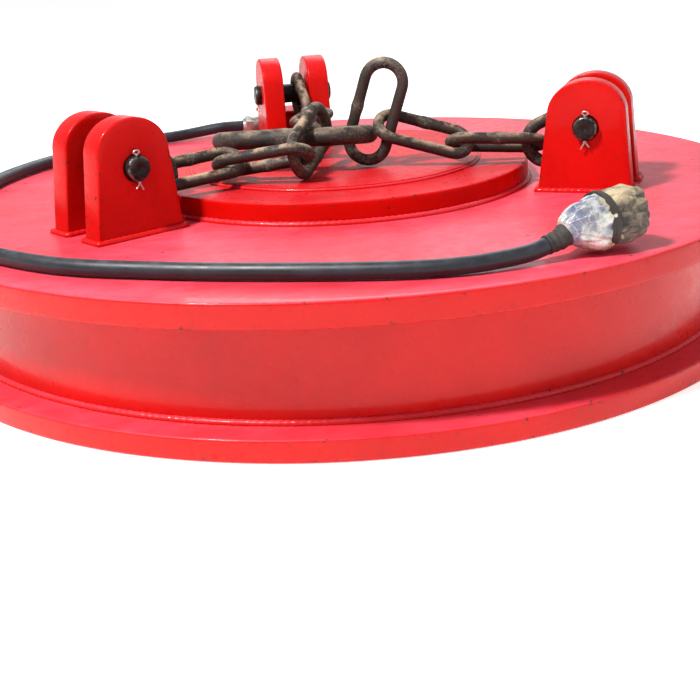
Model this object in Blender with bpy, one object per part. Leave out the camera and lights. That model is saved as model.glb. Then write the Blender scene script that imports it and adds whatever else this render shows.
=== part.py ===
"""Circular lifting magnet with three lugs, a slack three-leg chain sling and its supply cable.

Units are metres, +Z is up. The origin is the centre of the pole face. The lugs stand at
90, 210 and 330 degrees round +Z.
"""

import math

import bmesh
import bpy
from mathutils import Matrix, Vector

# Housing: bottom flange, cylindrical wall and deck plate, all round
FLANGE_R = 0.750
FLANGE_TOP = 0.034
WALL_R = 0.697
WALL_THICK = 0.040
DECK_BOTTOM = 0.184
DECK_TOP = 0.221
BOSS_R = 0.350
BOSS_TOP = 0.257
COVER_R = 0.262
COVER_TOP = 0.263
EDGE = 0.003
THIN_EDGE = 0.001
GAP = 0.0004
ROUND = 72
INNER_ROUND = 36

# Magnetic core, coil and bottom plate inside the housing
CORE_R = 0.235
SHOE_R = 0.300
POLE_IN_R = 0.600
PLATE_BOTTOM = 0.012
PLATE_TOP = 0.030
FORMER_WALL = 0.012
COIL_BOTTOM = 0.046
COIL_TOP = 0.170
COIL_SPLIT_R = 0.440
COIL_OUT_R = 0.645
SHIM = 0.008

# Lugs: pairs of plates in radial planes, each pair holding a pin
LUG_ANGLES = (90, 210, 330)
LUG_NAMES = ("back", "left", "right")
LUG_R = 0.462
LUG_GAP = 0.054
LUG_THICK = 0.043
LUG_BASE = 0.156
LUG_TOP_W = 0.128
LUG_RISE = 0.077
LUG_SHOULDER = 0.055
LUG_EDGE = 0.003
PIN_Z = 0.328
PIN_R = 0.020
PIN_HALF = 0.083
PIN_HOLE_R = 0.0208
PIN_CHAMFER = 0.002
OVERCUT = 0.010
SPLIT_R = 0.0025
SPLIT_BELOW = 0.036
SPLIT_ABOVE = 0.026
SPLIT_AT = 0.077
SPLIT_HOLE_R = 0.0029

# Chain: wire diameter, outer length and outer width of each kind of link
LUG_LINK = (0.022, 0.170, 0.092)
LINK = (0.020, 0.180, 0.075)
END_LINK = (0.020, 0.190, 0.086)
MASTER = (0.032, 0.300, 0.160)
WIRE_SIDES = 8
BEND_STEPS = 6

# Where each link lies: centre x, y, z, then the long axis' azimuth and elevation and the
# roll about it, in degrees. Roll 0 stands the link's plane upright, 90 lays it flat.
CHAIN = {
    "right": [
        (LUG_LINK, (0.368, -0.212, 0.310), (150, -25, 0)),
        (LINK, (0.256, -0.163, 0.294), (165, 3, 65)),
        (LINK, (0.131, -0.141, 0.316), (168, 17, -53)),
        (END_LINK, (0.053, -0.119, 0.357), (-20, 72, 3)),
    ],
    "back": [
        (LUG_LINK, (0.012, 0.425, 0.310), (270, -25, 0)),
        (LINK, (0.012, 0.309, 0.293), (273, 5, 69)),
        (LINK, (0.001, 0.188, 0.298), (261, 2, 138)),
        (END_LINK, (-0.035, 0.058, 0.306), (249, -1, 201)),
    ],
    "left": [
        (LUG_LINK, (-0.368, -0.212, 0.310), (30, -25, 0)),
        (LINK, (-0.266, -0.167, 0.295), (16, 4, 62)),
        (LINK, (-0.155, -0.176, 0.302), (-26, 9, 120)),
        (END_LINK, (-0.066, -0.132, 0.321), (61, 16, 10)),
    ],
}
MASTER_AT = ((-0.080, -0.050, 0.314), (-25, 2, 98))

# Cable outlet box behind the back lug
BOX_AT = (0.0, 0.610)
BOX_SIZE = (0.110, 0.090, 0.046)
LID_SIZE = (0.120, 0.100, 0.008)
BOLT_HEAD_R = 0.010
BOLT_HEAD = 0.006
BOLT_AT = (0.046, 0.036)
BOX_BEVEL = 0.002
LID_BEVEL = 0.0015
GLAND_R = 0.021
GLAND_LEN = 0.022
NUT_CORNER_R = 0.0218
NUT_LEN = 0.020

# Supply cable: its route over the deck, from the gland round to the wrapped end
CABLE_R = 0.012
CABLE_Z = DECK_TOP + CABLE_R + 0.0006
CABLE_RISE = 0.0015
CABLE_POINTS = 76
CABLE_ROUTE = [
    (-0.0985, 0.6100, 0.2440),
    (-0.1500, 0.6100, 0.2440),
    (-0.2400, 0.6050, CABLE_Z + CABLE_RISE),
    (-0.3700, 0.5500, CABLE_Z),
    (-0.5000, 0.4400, CABLE_Z),
    (-0.6050, 0.2800, CABLE_Z),
    (-0.6650, 0.0900, CABLE_Z),
    (-0.6800, -0.0900, CABLE_Z),
    (-0.6300, -0.2900, CABLE_Z),
    (-0.5050, -0.4560, CABLE_Z),
    (-0.3550, -0.5500, CABLE_Z),
    (-0.2000, -0.6200, CABLE_Z),
    (-0.0600, -0.6700, CABLE_Z),
    (0.0200, -0.6850, CABLE_Z),
    (0.0800, -0.6830, CABLE_Z + CABLE_RISE),
    (0.1310, -0.6730, 0.2380),
    (0.1720, -0.6626, 0.2480),
]
CURVE_STEPS = 24
WRAP_AT = (0.2380, -0.6450, 0.2640)
WRAP_HALF = (0.064, 0.041, 0.042)
WRAP_TURN = 15

STEEL_RED = (0.75, 0.01, 0.01)
RUST = (0.16, 0.09, 0.05)
BLACK = (0.02, 0.02, 0.02)
ZINC = (0.65, 0.65, 0.62)
COPPER = (0.60, 0.30, 0.16)
FIBRE = (0.55, 0.45, 0.25)
FOIL = (0.55, 0.55, 0.55)


def material(name, colour, roughness, metallic):
    """Return the named Principled material, making it once."""
    found = bpy.data.materials.get(name)
    if found:
        return found
    made = bpy.data.materials.new(name)
    made.use_nodes = True
    shader = made.node_tree.nodes["Principled BSDF"]
    shader.inputs["Base Color"].default_value = (*colour, 1)
    shader.inputs["Roughness"].default_value = roughness
    shader.inputs["Metallic"].default_value = metallic
    return made


def red():
    return material("red_paint", STEEL_RED, 0.35, 0.0)


def rusty():
    return material("rusty_steel", RUST, 0.75, 0.4)


def black():
    return material("black_steel", BLACK, 0.5, 0.3)


def zinc():
    return material("zinc", ZINC, 0.35, 0.9)


def add_node(name, bm, finish):
    """Turn a bmesh into the named object with smooth shading and its material."""
    bmesh.ops.recalc_face_normals(bm, faces=bm.faces)
    mesh = bpy.data.meshes.new(name)
    bm.to_mesh(mesh)
    bm.free()
    mesh.materials.append(finish)
    mesh.shade_smooth()
    mesh.set_sharp_from_angle(angle=math.radians(35))
    node = bpy.data.objects.new(name, mesh)
    bpy.context.scene.collection.objects.link(node)
    return node


def turned(name, profile, finish, steps=ROUND):
    """Spin a closed (radius, height) outline round +Z; radius 0 closes on the axis."""
    bm = bmesh.new()
    rings = []
    for radius, height in profile:
        if radius == 0:
            rings.append([bm.verts.new((0, 0, height))])
            continue
        ring_verts = []
        for i in range(steps):
            angle = 2 * math.pi * i / steps
            ring_verts.append(bm.verts.new((radius * math.cos(angle), radius * math.sin(angle), height)))
        rings.append(ring_verts)
    for first, second in zip(rings, rings[1:] + rings[:1]):
        if len(first) == 1 and len(second) == 1:
            continue
        for i in range(steps):
            j = (i + 1) % steps
            corners = [first[i % len(first)], first[j % len(first)]]
            corners += [second[j % len(second)], second[i % len(second)]]
            bm.faces.new(list(dict.fromkeys(corners)))
    return add_node(name, bm, finish)


def disc(name, radius, low, high, finish, edge=EDGE, steps=ROUND):
    """A solid disc with chamfered rims."""
    outline = [(0, low), (radius - edge, low), (radius, low + edge)]
    outline += [(radius, high - edge), (radius - edge, high), (0, high)]
    return turned(name, outline, finish, steps)


def ring(name, inner, outer, low, high, finish, edge=EDGE, steps=ROUND):
    """A flat ring with a chamfered outer rim."""
    outline = [(inner, low), (outer - edge, low), (outer, low + edge)]
    outline += [(outer, high - edge), (outer - edge, high), (inner, high)]
    return turned(name, outline, finish, steps)


def cylinder(bm, radius, start, end, sides):
    """Add a closed cylinder between two points to a bmesh."""
    start, end = Vector(start), Vector(end)
    along = end - start
    turn = along.to_track_quat("Z", "Y").to_matrix().to_4x4()
    place = Matrix.Translation((start + end) / 2) @ turn
    depth = along.length
    bmesh.ops.create_cone(
        bm, cap_ends=True, segments=sides, radius1=radius, radius2=radius, depth=depth, matrix=place
    )


def bevelled_box(name, centre, size, bevel, finish):
    """An upright box with bevelled edges."""
    bm = bmesh.new()
    place = Matrix.Translation(centre) @ Matrix.Diagonal((*size, 1))
    bmesh.ops.create_cube(bm, size=1, matrix=place)
    bmesh.ops.bevel(bm, geom=bm.edges[:], offset=bevel, segments=1, affect="EDGES")
    return add_node(name, bm, finish)


def cut(node, cutter):
    """Apply an exact Boolean difference and drop the cutter."""
    cutter.display_type = "WIRE"
    cutter.hide_render = True
    modifier = node.modifiers.new("cut", "BOOLEAN")
    modifier.operation = "DIFFERENCE"
    modifier.solver = "EXACT"
    modifier.object = cutter
    return node


def housing():
    """The painted steel shell, its boss and the thin cover disc."""
    turned(
        "outer_pole_ring",
        [
            (POLE_IN_R, 0),
            (FLANGE_R - EDGE, 0),
            (FLANGE_R, EDGE),
            (FLANGE_R, FLANGE_TOP - EDGE),
            (FLANGE_R - EDGE, FLANGE_TOP),
            (POLE_IN_R, FLANGE_TOP),
        ],
        red(),
    )
    ring("housing_wall", WALL_R - WALL_THICK, WALL_R, FLANGE_TOP + GAP, DECK_BOTTOM - GAP, red(), THIN_EDGE)
    disc("deck_plate", FLANGE_R, DECK_BOTTOM, DECK_TOP, red())
    disc("centre_boss", BOSS_R, DECK_TOP + GAP, BOSS_TOP, red())
    disc("boss_cover", COVER_R, BOSS_TOP + GAP, COVER_TOP, red(), THIN_EDGE)


def magnet_core():
    """Core, pole shoe, bottom plate, former, coil sections and insulation."""
    steel = material("bare_steel", (0.35, 0.35, 0.36), 0.4, 1.0)
    copper = material("coil_strip", COPPER, 0.4, 1.0)
    fibre = material("insulation", FIBRE, 0.8, 0.0)
    plate = material("manganese_plate", (0.30, 0.30, 0.31), 0.5, 1.0)
    disc("core", CORE_R, FLANGE_TOP + GAP, DECK_BOTTOM - GAP, steel, steps=INNER_ROUND)
    disc("inner_pole_shoe", SHOE_R, 0, FLANGE_TOP, steel, steps=INNER_ROUND)
    around_core = CORE_R + 2 * GAP
    around_former = around_core + FORMER_WALL + 2 * GAP
    shim_top = COIL_TOP + SHIM + GAP
    shim_bottom = COIL_BOTTOM - SHIM - GAP
    rings = {
        "bottom_plate": (SHOE_R + 2 * GAP, POLE_IN_R - 2 * GAP, PLATE_BOTTOM, PLATE_TOP, plate),
        "coil_former": (around_core, around_core + FORMER_WALL, COIL_BOTTOM, COIL_TOP, fibre),
        "coil_inner": (around_former, COIL_SPLIT_R - GAP, COIL_BOTTOM, COIL_TOP, copper),
        "coil_outer": (COIL_SPLIT_R + GAP, COIL_OUT_R, COIL_BOTTOM, COIL_TOP, copper),
        "insulation_bottom": (around_core, COIL_OUT_R, shim_bottom, COIL_BOTTOM - GAP, fibre),
        "insulation_top": (around_core, COIL_OUT_R, COIL_TOP + GAP, shim_top, fibre),
    }
    for name, (inner, outer, low, high, finish) in rings.items():
        ring(name, inner, outer, low, high, finish, EDGE / 2, INNER_ROUND)


def lug_outline(steps=10):
    """Outline of a lug plate in its own plane: tapered sides and a rounded top."""
    low = DECK_TOP + GAP
    top = PIN_Z + LUG_RISE
    half = LUG_TOP_W / 2
    shoulder = top - LUG_SHOULDER
    points = [(-LUG_BASE / 2, low), (LUG_BASE / 2, low)]
    for i in range(steps + 1):
        angle = math.pi * i / steps
        points.append((half * math.cos(angle), shoulder + (top - shoulder) * math.sin(angle)))
    return points


def rim_edges(bm, foot):
    """Edges of a plate's two faces, apart from those along its foot."""
    rims = []
    for edge in bm.edges:
        start, end = (v.co for v in edge.verts)
        if abs(start.y - end.y) < GAP and max(start.z, end.z) > foot:
            rims.append(edge)
    return rims


def lug_plate(name, angle, side):
    """One plate of a lug, with its pin hole, standing in a radial plane."""
    near = LUG_GAP / 2
    far = near + LUG_THICK
    bm = bmesh.new()
    faces = []
    for offset in (near * side, far * side):
        loop = [bm.verts.new((LUG_R + along, offset, height)) for along, height in lug_outline()]
        faces.append(loop)
        bm.faces.new(loop)
    count = len(faces[0])
    for i in range(count):
        j = (i + 1) % count
        bm.faces.new((faces[0][i], faces[0][j], faces[1][j], faces[1][i]))
    bmesh.ops.recalc_face_normals(bm, faces=bm.faces)
    foot = DECK_TOP + 2 * GAP
    bmesh.ops.bevel(bm, geom=rim_edges(bm, foot), offset=LUG_EDGE, segments=1, affect="EDGES")
    plate = add_node(name, bm, red())
    hole = bmesh.new()
    start = (LUG_R, side * (near - OVERCUT), PIN_Z)
    cylinder(hole, PIN_HOLE_R, start, (LUG_R, side * (far + OVERCUT), PIN_Z), 24)
    cutter = add_node(name + "_hole", hole, red())
    turn = Matrix.Rotation(math.radians(angle), 4, "Z")
    cutter.matrix_world = turn
    plate.matrix_world = turn
    return cut(plate, cutter)


def lug_frame(angle):
    """A lug's outward and tangential directions."""
    turn = math.radians(angle)
    return Vector((math.cos(turn), math.sin(turn), 0)), Vector((-math.sin(turn), math.cos(turn), 0))


def lug_pin(name, angle):
    """The pin through a lug, drilled for its split pins."""
    outward, across = lug_frame(angle)
    centre = outward * LUG_R + Vector((0, 0, PIN_Z))
    bm = bmesh.new()
    cylinder(bm, PIN_R, centre - across * PIN_HALF, centre + across * PIN_HALF, 20)
    caps = [face for face in bm.faces if len(face.verts) > 4]
    ends = {edge for cap in caps for edge in cap.edges}
    bmesh.ops.bevel(bm, geom=list(ends), offset=PIN_CHAMFER, segments=1, affect="EDGES")
    pin = add_node(name, bm, black())
    drill = bmesh.new()
    for side in (-1, 1):
        at = centre + across * SPLIT_AT * side
        reach = Vector((0, 0, PIN_R + OVERCUT))
        cylinder(drill, SPLIT_HOLE_R, at - reach, at + reach, 10)
    cutter = add_node(name + "_drill", drill, black())
    return cut(pin, cutter)


def split_pin(name, angle, side):
    """A split pin standing upright through one end of a lug pin."""
    outward, across = lug_frame(angle)
    at = outward * LUG_R + across * SPLIT_AT * side + Vector((0, 0, PIN_Z))
    bm = bmesh.new()
    cylinder(bm, SPLIT_R, at - Vector((0, 0, SPLIT_BELOW)), at + Vector((0, 0, SPLIT_ABOVE)), 8)
    return add_node(name, bm, zinc())


def link_axes(azimuth, elevation, roll):
    """A link's long direction and width direction."""
    a, e, r = (math.radians(v) for v in (azimuth, elevation, roll))
    along = Vector((math.cos(e) * math.cos(a), math.cos(e) * math.sin(a), math.sin(e)))
    side = Vector((-math.sin(a), math.cos(a), 0))
    up = along.cross(side)
    return along, math.cos(r) * up + math.sin(r) * side


def chain_link(name, kind, centre, angles):
    """A welded oblong link: round wire bent round two half circles."""
    wire, length, width = kind
    along, across = link_axes(*angles)
    normal = along.cross(across)
    bend = (width - wire) / 2
    straight = (length - width) / 2
    bm = bmesh.new()
    rings = []
    for end in (1, -1):
        for i in range(BEND_STEPS + 1):
            turn = math.pi * i / BEND_STEPS - math.pi / 2
            out = end * (math.cos(turn) * along + math.sin(turn) * across)
            at = Vector(centre) + along * straight * end + out * bend
            section = []
            for k in range(WIRE_SIDES):
                round_wire = 2 * math.pi * k / WIRE_SIDES
                offset = out * math.cos(round_wire) + normal * math.sin(round_wire)
                section.append(bm.verts.new(at + offset * wire / 2))
            rings.append(section)
    for first, second in zip(rings, rings[1:] + rings[:1]):
        for k in range(WIRE_SIDES):
            n = (k + 1) % WIRE_SIDES
            bm.faces.new((first[k], first[n], second[n], second[k]))
    return add_node(name, bm, rusty())


def lugs():
    """The three lugs with their pins and split pins."""
    for name, angle in zip(LUG_NAMES, LUG_ANGLES):
        lug_plate(f"lug_{name}_plate_a", angle, -1)
        lug_plate(f"lug_{name}_plate_b", angle, 1)
        lug_pin(f"pin_{name}", angle)
        split_pin(f"split_pin_{name}_a", angle, -1)
        split_pin(f"split_pin_{name}_b", angle, 1)


def chains():
    """The three slack legs and the master link that they share."""
    for leg, links in CHAIN.items():
        for number, (kind, centre, angles) in enumerate(links, start=1):
            chain_link(f"link_{leg}_{number}", kind, centre, angles)
    chain_link("master_link", MASTER, *MASTER_AT)


def outlet_box():
    """The cable outlet: box, lid, four lid bolts, gland and gland nut."""
    x, y = BOX_AT
    low = DECK_TOP + GAP
    box_top = low + BOX_SIZE[2]
    lid_low = box_top + GAP
    lid_top = lid_low + LID_SIZE[2]
    bevelled_box("outlet_box", (x, y, low + BOX_SIZE[2] / 2), BOX_SIZE, BOX_BEVEL, red())
    bevelled_box("outlet_lid", (x, y, lid_low + LID_SIZE[2] / 2), LID_SIZE, LID_BEVEL, red())
    number = 1
    for side_x in (-1, 1):
        for side_y in (-1, 1):
            at = Vector((x + side_x * BOLT_AT[0], y + side_y * BOLT_AT[1], lid_top + GAP))
            bm = bmesh.new()
            cylinder(bm, BOLT_HEAD_R, at, at + Vector((0, 0, BOLT_HEAD)), 6)
            add_node(f"lid_bolt_{number}", bm, zinc())
            number += 1
    gland_z = CABLE_ROUTE[0][2]
    face = x - BOX_SIZE[0] / 2 - GAP
    bm = bmesh.new()
    cylinder(bm, GLAND_R, (face, y, gland_z), (face - GLAND_LEN, y, gland_z), 16)
    add_node("gland_body", bm, zinc())
    nut = bmesh.new()
    start = face - GLAND_LEN - GAP
    cylinder(nut, NUT_CORNER_R, (start, y, gland_z), (start - NUT_LEN, y, gland_z), 6)
    add_node("gland_nut", nut, zinc())


def curve_points(route, count):
    """Points evenly spread along a Catmull-Rom curve through the route's points."""
    route = [Vector(p) for p in route]
    padded = [route[0] * 2 - route[1], *route, route[-1] * 2 - route[-2]]
    fine = []
    for p0, p1, p2, p3 in zip(padded, padded[1:], padded[2:], padded[3:]):
        for i in range(CURVE_STEPS):
            t = i / CURVE_STEPS
            linear = (p2 - p0) * t
            square = (2 * p0 - 5 * p1 + 4 * p2 - p3) * t**2
            cube = (3 * (p1 - p2) + p3 - p0) * t**3
            fine.append(0.5 * (2 * p1 + linear + square + cube))
    fine.append(route[-1])
    lengths = [0]
    for first, second in zip(fine, fine[1:]):
        lengths.append(lengths[-1] + (second - first).length)
    spread = []
    here = 0
    for i in range(count):
        wanted = lengths[-1] * i / (count - 1)
        while here < len(fine) - 2 and lengths[here + 1] < wanted:
            here += 1
        part = (wanted - lengths[here]) / (lengths[here + 1] - lengths[here])
        spread.append(fine[here].lerp(fine[here + 1], part))
    return spread


def power_cable():
    """The supply cable, one plain tube along its route."""
    curve = bpy.data.curves.new("power_cable", "CURVE")
    curve.dimensions = "3D"
    curve.bevel_depth = CABLE_R
    curve.bevel_resolution = 2
    curve.use_fill_caps = True
    spline = curve.splines.new("POLY")
    points = curve_points(CABLE_ROUTE, CABLE_POINTS)
    spline.points.add(len(points) - 1)
    for knot, point in zip(spline.points, points):
        knot.co = (*point, 1)
    curve.materials.append(material("cable_rubber", BLACK, 0.6, 0.0))
    node = bpy.data.objects.new("power_cable", curve)
    bpy.context.scene.collection.objects.link(node)


def cable_end():
    """The cable's end, wrapped in tape and foil into a soft bundle."""
    bm = bmesh.new()
    turn = Matrix.Rotation(math.radians(WRAP_TURN), 4, "Z")
    place = Matrix.Translation(WRAP_AT) @ turn @ Matrix.Diagonal((*WRAP_HALF, 1))
    bmesh.ops.create_uvsphere(bm, u_segments=20, v_segments=10, radius=1, matrix=place)
    add_node("cable_end_wrap", bm, material("foil_wrap", FOIL, 0.5, 0.3))


def main():
    for old in list(bpy.data.objects):
        bpy.data.objects.remove(old, do_unlink=True)
    housing()
    magnet_core()
    lugs()
    chains()
    outlet_box()
    power_cable()
    cable_end()


main()
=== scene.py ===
"""Looks of the lifting magnet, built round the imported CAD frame.

Metres, +Z up, the same frame as the CAD. Detailed pieces replace CAD nodes and ride on their
bodies. The weld beads, the gasket, and the cloth and tape on the cable's end are extra pieces
on the housing.
"""

import random
from math import cos, exp, pi, radians, sin, sqrt

import bmesh
import bpy
import numpy as np
from mathutils import Matrix, Vector, noise


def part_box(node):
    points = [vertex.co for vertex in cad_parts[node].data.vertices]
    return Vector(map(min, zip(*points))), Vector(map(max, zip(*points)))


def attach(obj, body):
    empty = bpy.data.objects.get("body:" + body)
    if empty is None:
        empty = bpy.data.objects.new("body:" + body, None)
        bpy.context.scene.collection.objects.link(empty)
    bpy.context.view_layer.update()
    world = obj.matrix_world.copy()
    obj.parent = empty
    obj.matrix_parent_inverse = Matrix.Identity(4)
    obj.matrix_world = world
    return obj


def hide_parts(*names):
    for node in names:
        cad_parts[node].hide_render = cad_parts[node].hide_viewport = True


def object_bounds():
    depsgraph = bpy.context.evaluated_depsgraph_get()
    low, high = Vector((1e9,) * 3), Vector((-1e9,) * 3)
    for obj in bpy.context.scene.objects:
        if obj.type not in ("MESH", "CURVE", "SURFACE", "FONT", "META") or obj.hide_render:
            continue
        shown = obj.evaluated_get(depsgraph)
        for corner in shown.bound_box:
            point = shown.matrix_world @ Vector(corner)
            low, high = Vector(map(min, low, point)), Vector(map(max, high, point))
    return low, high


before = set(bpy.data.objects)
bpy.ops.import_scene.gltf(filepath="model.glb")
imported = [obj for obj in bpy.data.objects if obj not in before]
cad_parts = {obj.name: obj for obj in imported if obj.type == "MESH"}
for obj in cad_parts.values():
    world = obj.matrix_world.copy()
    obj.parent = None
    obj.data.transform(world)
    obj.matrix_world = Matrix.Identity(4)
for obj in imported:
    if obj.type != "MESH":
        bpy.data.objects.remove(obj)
cad_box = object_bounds()

# Camera
CAMERA_AT = (-0.38979, -2.07205, 0.64303)
CAMERA_YAW = 0.0038
CAMERA_DOWN = 0.3446
CAMERA_ROLL = -0.0553
OBJECT_TURN = 0.1859
LENS = 59.14
SENSOR = 36.0
FLOOR_RADIUS = 60

# The surroundings' brightness by height: white at the horizon, dimmer overhead
SKY = {"From Min": 0.07, "From Max": 0.20, "To Min": 1.0, "To Max": 0.42}

# Lights: place, size, power and colour
LIGHTS = {
    "key": ((-1.9, -1.3, 3.3), 0.45, 235, (1.0, 0.985, 0.96)),
    "fill": ((2.4, -2.2, 1.6), 2.2, 14, (1.0, 0.97, 0.94)),
    "rim": ((0.6, 2.8, 2.4), 2.4, 50, (0.90, 0.95, 1.0)),
}
LIGHTS_AIM = (0, 0, 0.2)

# Body of the magnet
ROUND = 288
EDGE_ROUND = 0.004
POLE_IN_R = 0.600
WALL_THICK = 0.040
WELD_STEP = 0.0035
WELD_SIDES = 8
WELD_LAP = 0.001
LUG_ANGLES = {"back": 90, "left": 210, "right": 330}
LUG_R = 0.462
LUG_GAP = 0.054
LUG_THICK = 0.043
LUG_BASE = 0.156
LUG_TOP_W = 0.128
LUG_RISE = 0.077
LUG_SHOULDER = LUG_TOP_W / 2 * 0.86
LUG_EDGE = 0.0035
LUG_FACE_MARGIN = 0.008
LUG_WELD_R = 0.0062
PIN_Z = 0.328
PIN_R = 0.020
PIN_HOLE_R = 0.0208
PIN_HOLE_LIP = 0.0012
PIN_HOLE_STEPS = 48
PIN_HALF = 0.083
SPLIT_AT = 0.077
SPLIT_WIRE_R = 0.001512
SPLIT_EYE = 0.0050
SPLIT_LOW = -0.0335

# Cable outlet
OUTLET_ROUND = 0.006
OUTLET_WELD_R = 0.0045
LID_ROUND = 0.0028
LID_GAP = 0.0012
GASKET_INSET = 0.003
GASKET_ROUND = 0.0006
GASKET_BITE = 0.0002
BOLT_FLATS = 0.0165
BOLT_SINK = 0.0003
THREADS = 8

# Supply cable, the points of its route over the deck
CABLE_R = 0.012
CABLE_Z = 0.2336
CABLE_RISE = 0.0015
CABLE_ROUTE = [
    (-0.0985, 0.6100, 0.2440),
    (-0.1500, 0.6100, 0.2440),
    (-0.2400, 0.6050, CABLE_Z + CABLE_RISE),
    (-0.3700, 0.5500, CABLE_Z),
    (-0.5000, 0.4400, CABLE_Z),
    (-0.6050, 0.2800, CABLE_Z),
    (-0.6650, 0.0900, CABLE_Z),
    (-0.6800, -0.0900, CABLE_Z),
    (-0.6300, -0.2900, CABLE_Z),
    (-0.5050, -0.4560, CABLE_Z),
    (-0.3550, -0.5500, CABLE_Z),
    (-0.2000, -0.6200, CABLE_Z),
    (-0.0600, -0.6700, CABLE_Z),
    (0.0200, -0.6850, CABLE_Z),
    (0.0800, -0.6830, CABLE_Z + CABLE_RISE),
    (0.1310, -0.6730, 0.2380),
    (0.1720, -0.6626, 0.2480),
]
CABLE_POINTS = 300
WRAP_AT = Vector((0.2380, -0.6450, 0.2640))
WRAP_HALF = (0.064, 0.041, 0.042)
WRAP_TURN = 15
WRAP_LEAN = -5
WRAP_STEPS = 144
WRAP_SQUARENESS = 2.6
WRAP_REACH = 0.985
WRAP_BASE = -0.94
NECK_OVERLAP = 0.020
NECK_INSIDE = 0.016
NECK_LIFT = 0.004
NECK_FLARE = 0.004
NECK_STEPS = 4
NECK_TURNS = 4
NECK_TAPE = 0.0012
NECK_RIDGE = 0.0005
TAPE_AT = 0.06
TAPE_SHARE = 0.93
TAPE_WIDTH = 0.008
TAPE_TURNS = 3
TAPE_THICK = 0.0007
TAPE_CROWN = 0.0006
TAPE_TUCK = 0.0022

# Wire of the links
BEND_STEPS = 28
STRAIGHT_STEPS = 22
WIRE_SIDES = 20
BAR_SHARE = 0.985
DENT = 0.022
ROUGH = 0.010
COLLAR_RISE = 0.13
COLLAR_REACH = 0.42

# Paint and plating
RED = (0.56, 0.0036, 0.0022)
RED_DEEP = (0.34, 0.0016, 0.0010)
# Pale pink for upward faces: partly dust, partly a painted sheen of reflected sky
RED_DUST_AND_SHEEN = (0.92, 0.150, 0.250)
PRIMER = (0.055, 0.018, 0.014)
ZINC = (0.62, 0.61, 0.56)


# ---------- camera and curves


def add_object(name, data):
    """Put a new object with its data into the scene."""
    made = bpy.data.objects.new(name, data)
    bpy.context.scene.collection.objects.link(made)
    return made


def add_camera():
    """The camera of the photograph."""
    forward = Vector(
        (
            sin(CAMERA_YAW) * cos(CAMERA_DOWN),
            cos(CAMERA_YAW) * cos(CAMERA_DOWN),
            -sin(CAMERA_DOWN),
        )
    )
    level = Vector((cos(CAMERA_YAW), -sin(CAMERA_YAW), 0))
    upward = level.cross(forward)
    right = cos(CAMERA_ROLL) * level + sin(CAMERA_ROLL) * upward
    up = -sin(CAMERA_ROLL) * level + cos(CAMERA_ROLL) * upward
    turn = Matrix.Rotation(-OBJECT_TURN, 3, "Z")
    axes = [turn @ right, turn @ up, -(turn @ forward)]
    data = bpy.data.cameras.new("camera")
    data.lens = LENS
    data.sensor_width = SENSOR
    data.sensor_fit = "HORIZONTAL"
    data.clip_end = 3 * FLOOR_RADIUS
    camera = add_object("camera", data)
    place = Matrix(axes).transposed().to_4x4()
    place.translation = Vector(CAMERA_AT)
    camera.matrix_world = place
    bpy.context.scene.camera = camera


def smooth_curve(route, count, steps=24):
    """Points evenly spread along a Catmull-Rom curve through the route's points."""
    route = [Vector(p) for p in route]
    padded = [route[0] * 2 - route[1], *route, route[-1] * 2 - route[-2]]
    fine = []
    for p0, p1, p2, p3 in zip(padded, padded[1:], padded[2:], padded[3:]):
        for i in range(steps):
            t = i / steps
            linear = (p2 - p0) * t
            square = (2 * p0 - 5 * p1 + 4 * p2 - p3) * t**2
            cube = (3 * (p1 - p2) + p3 - p0) * t**3
            fine.append(0.5 * (2 * p1 + linear + square + cube))
    fine.append(route[-1])
    lengths = [0]
    for first, second in zip(fine, fine[1:]):
        lengths.append(lengths[-1] + (second - first).length)
    spread = []
    here = 0
    for i in range(count):
        wanted = lengths[-1] * i / (count - 1)
        while here < len(fine) - 2 and lengths[here + 1] < wanted:
            here += 1
        part = (wanted - lengths[here]) / (lengths[here + 1] - lengths[here])
        spread.append(fine[here].lerp(fine[here + 1], part))
    return spread, lengths[-1]


# ---------- material helpers


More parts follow.
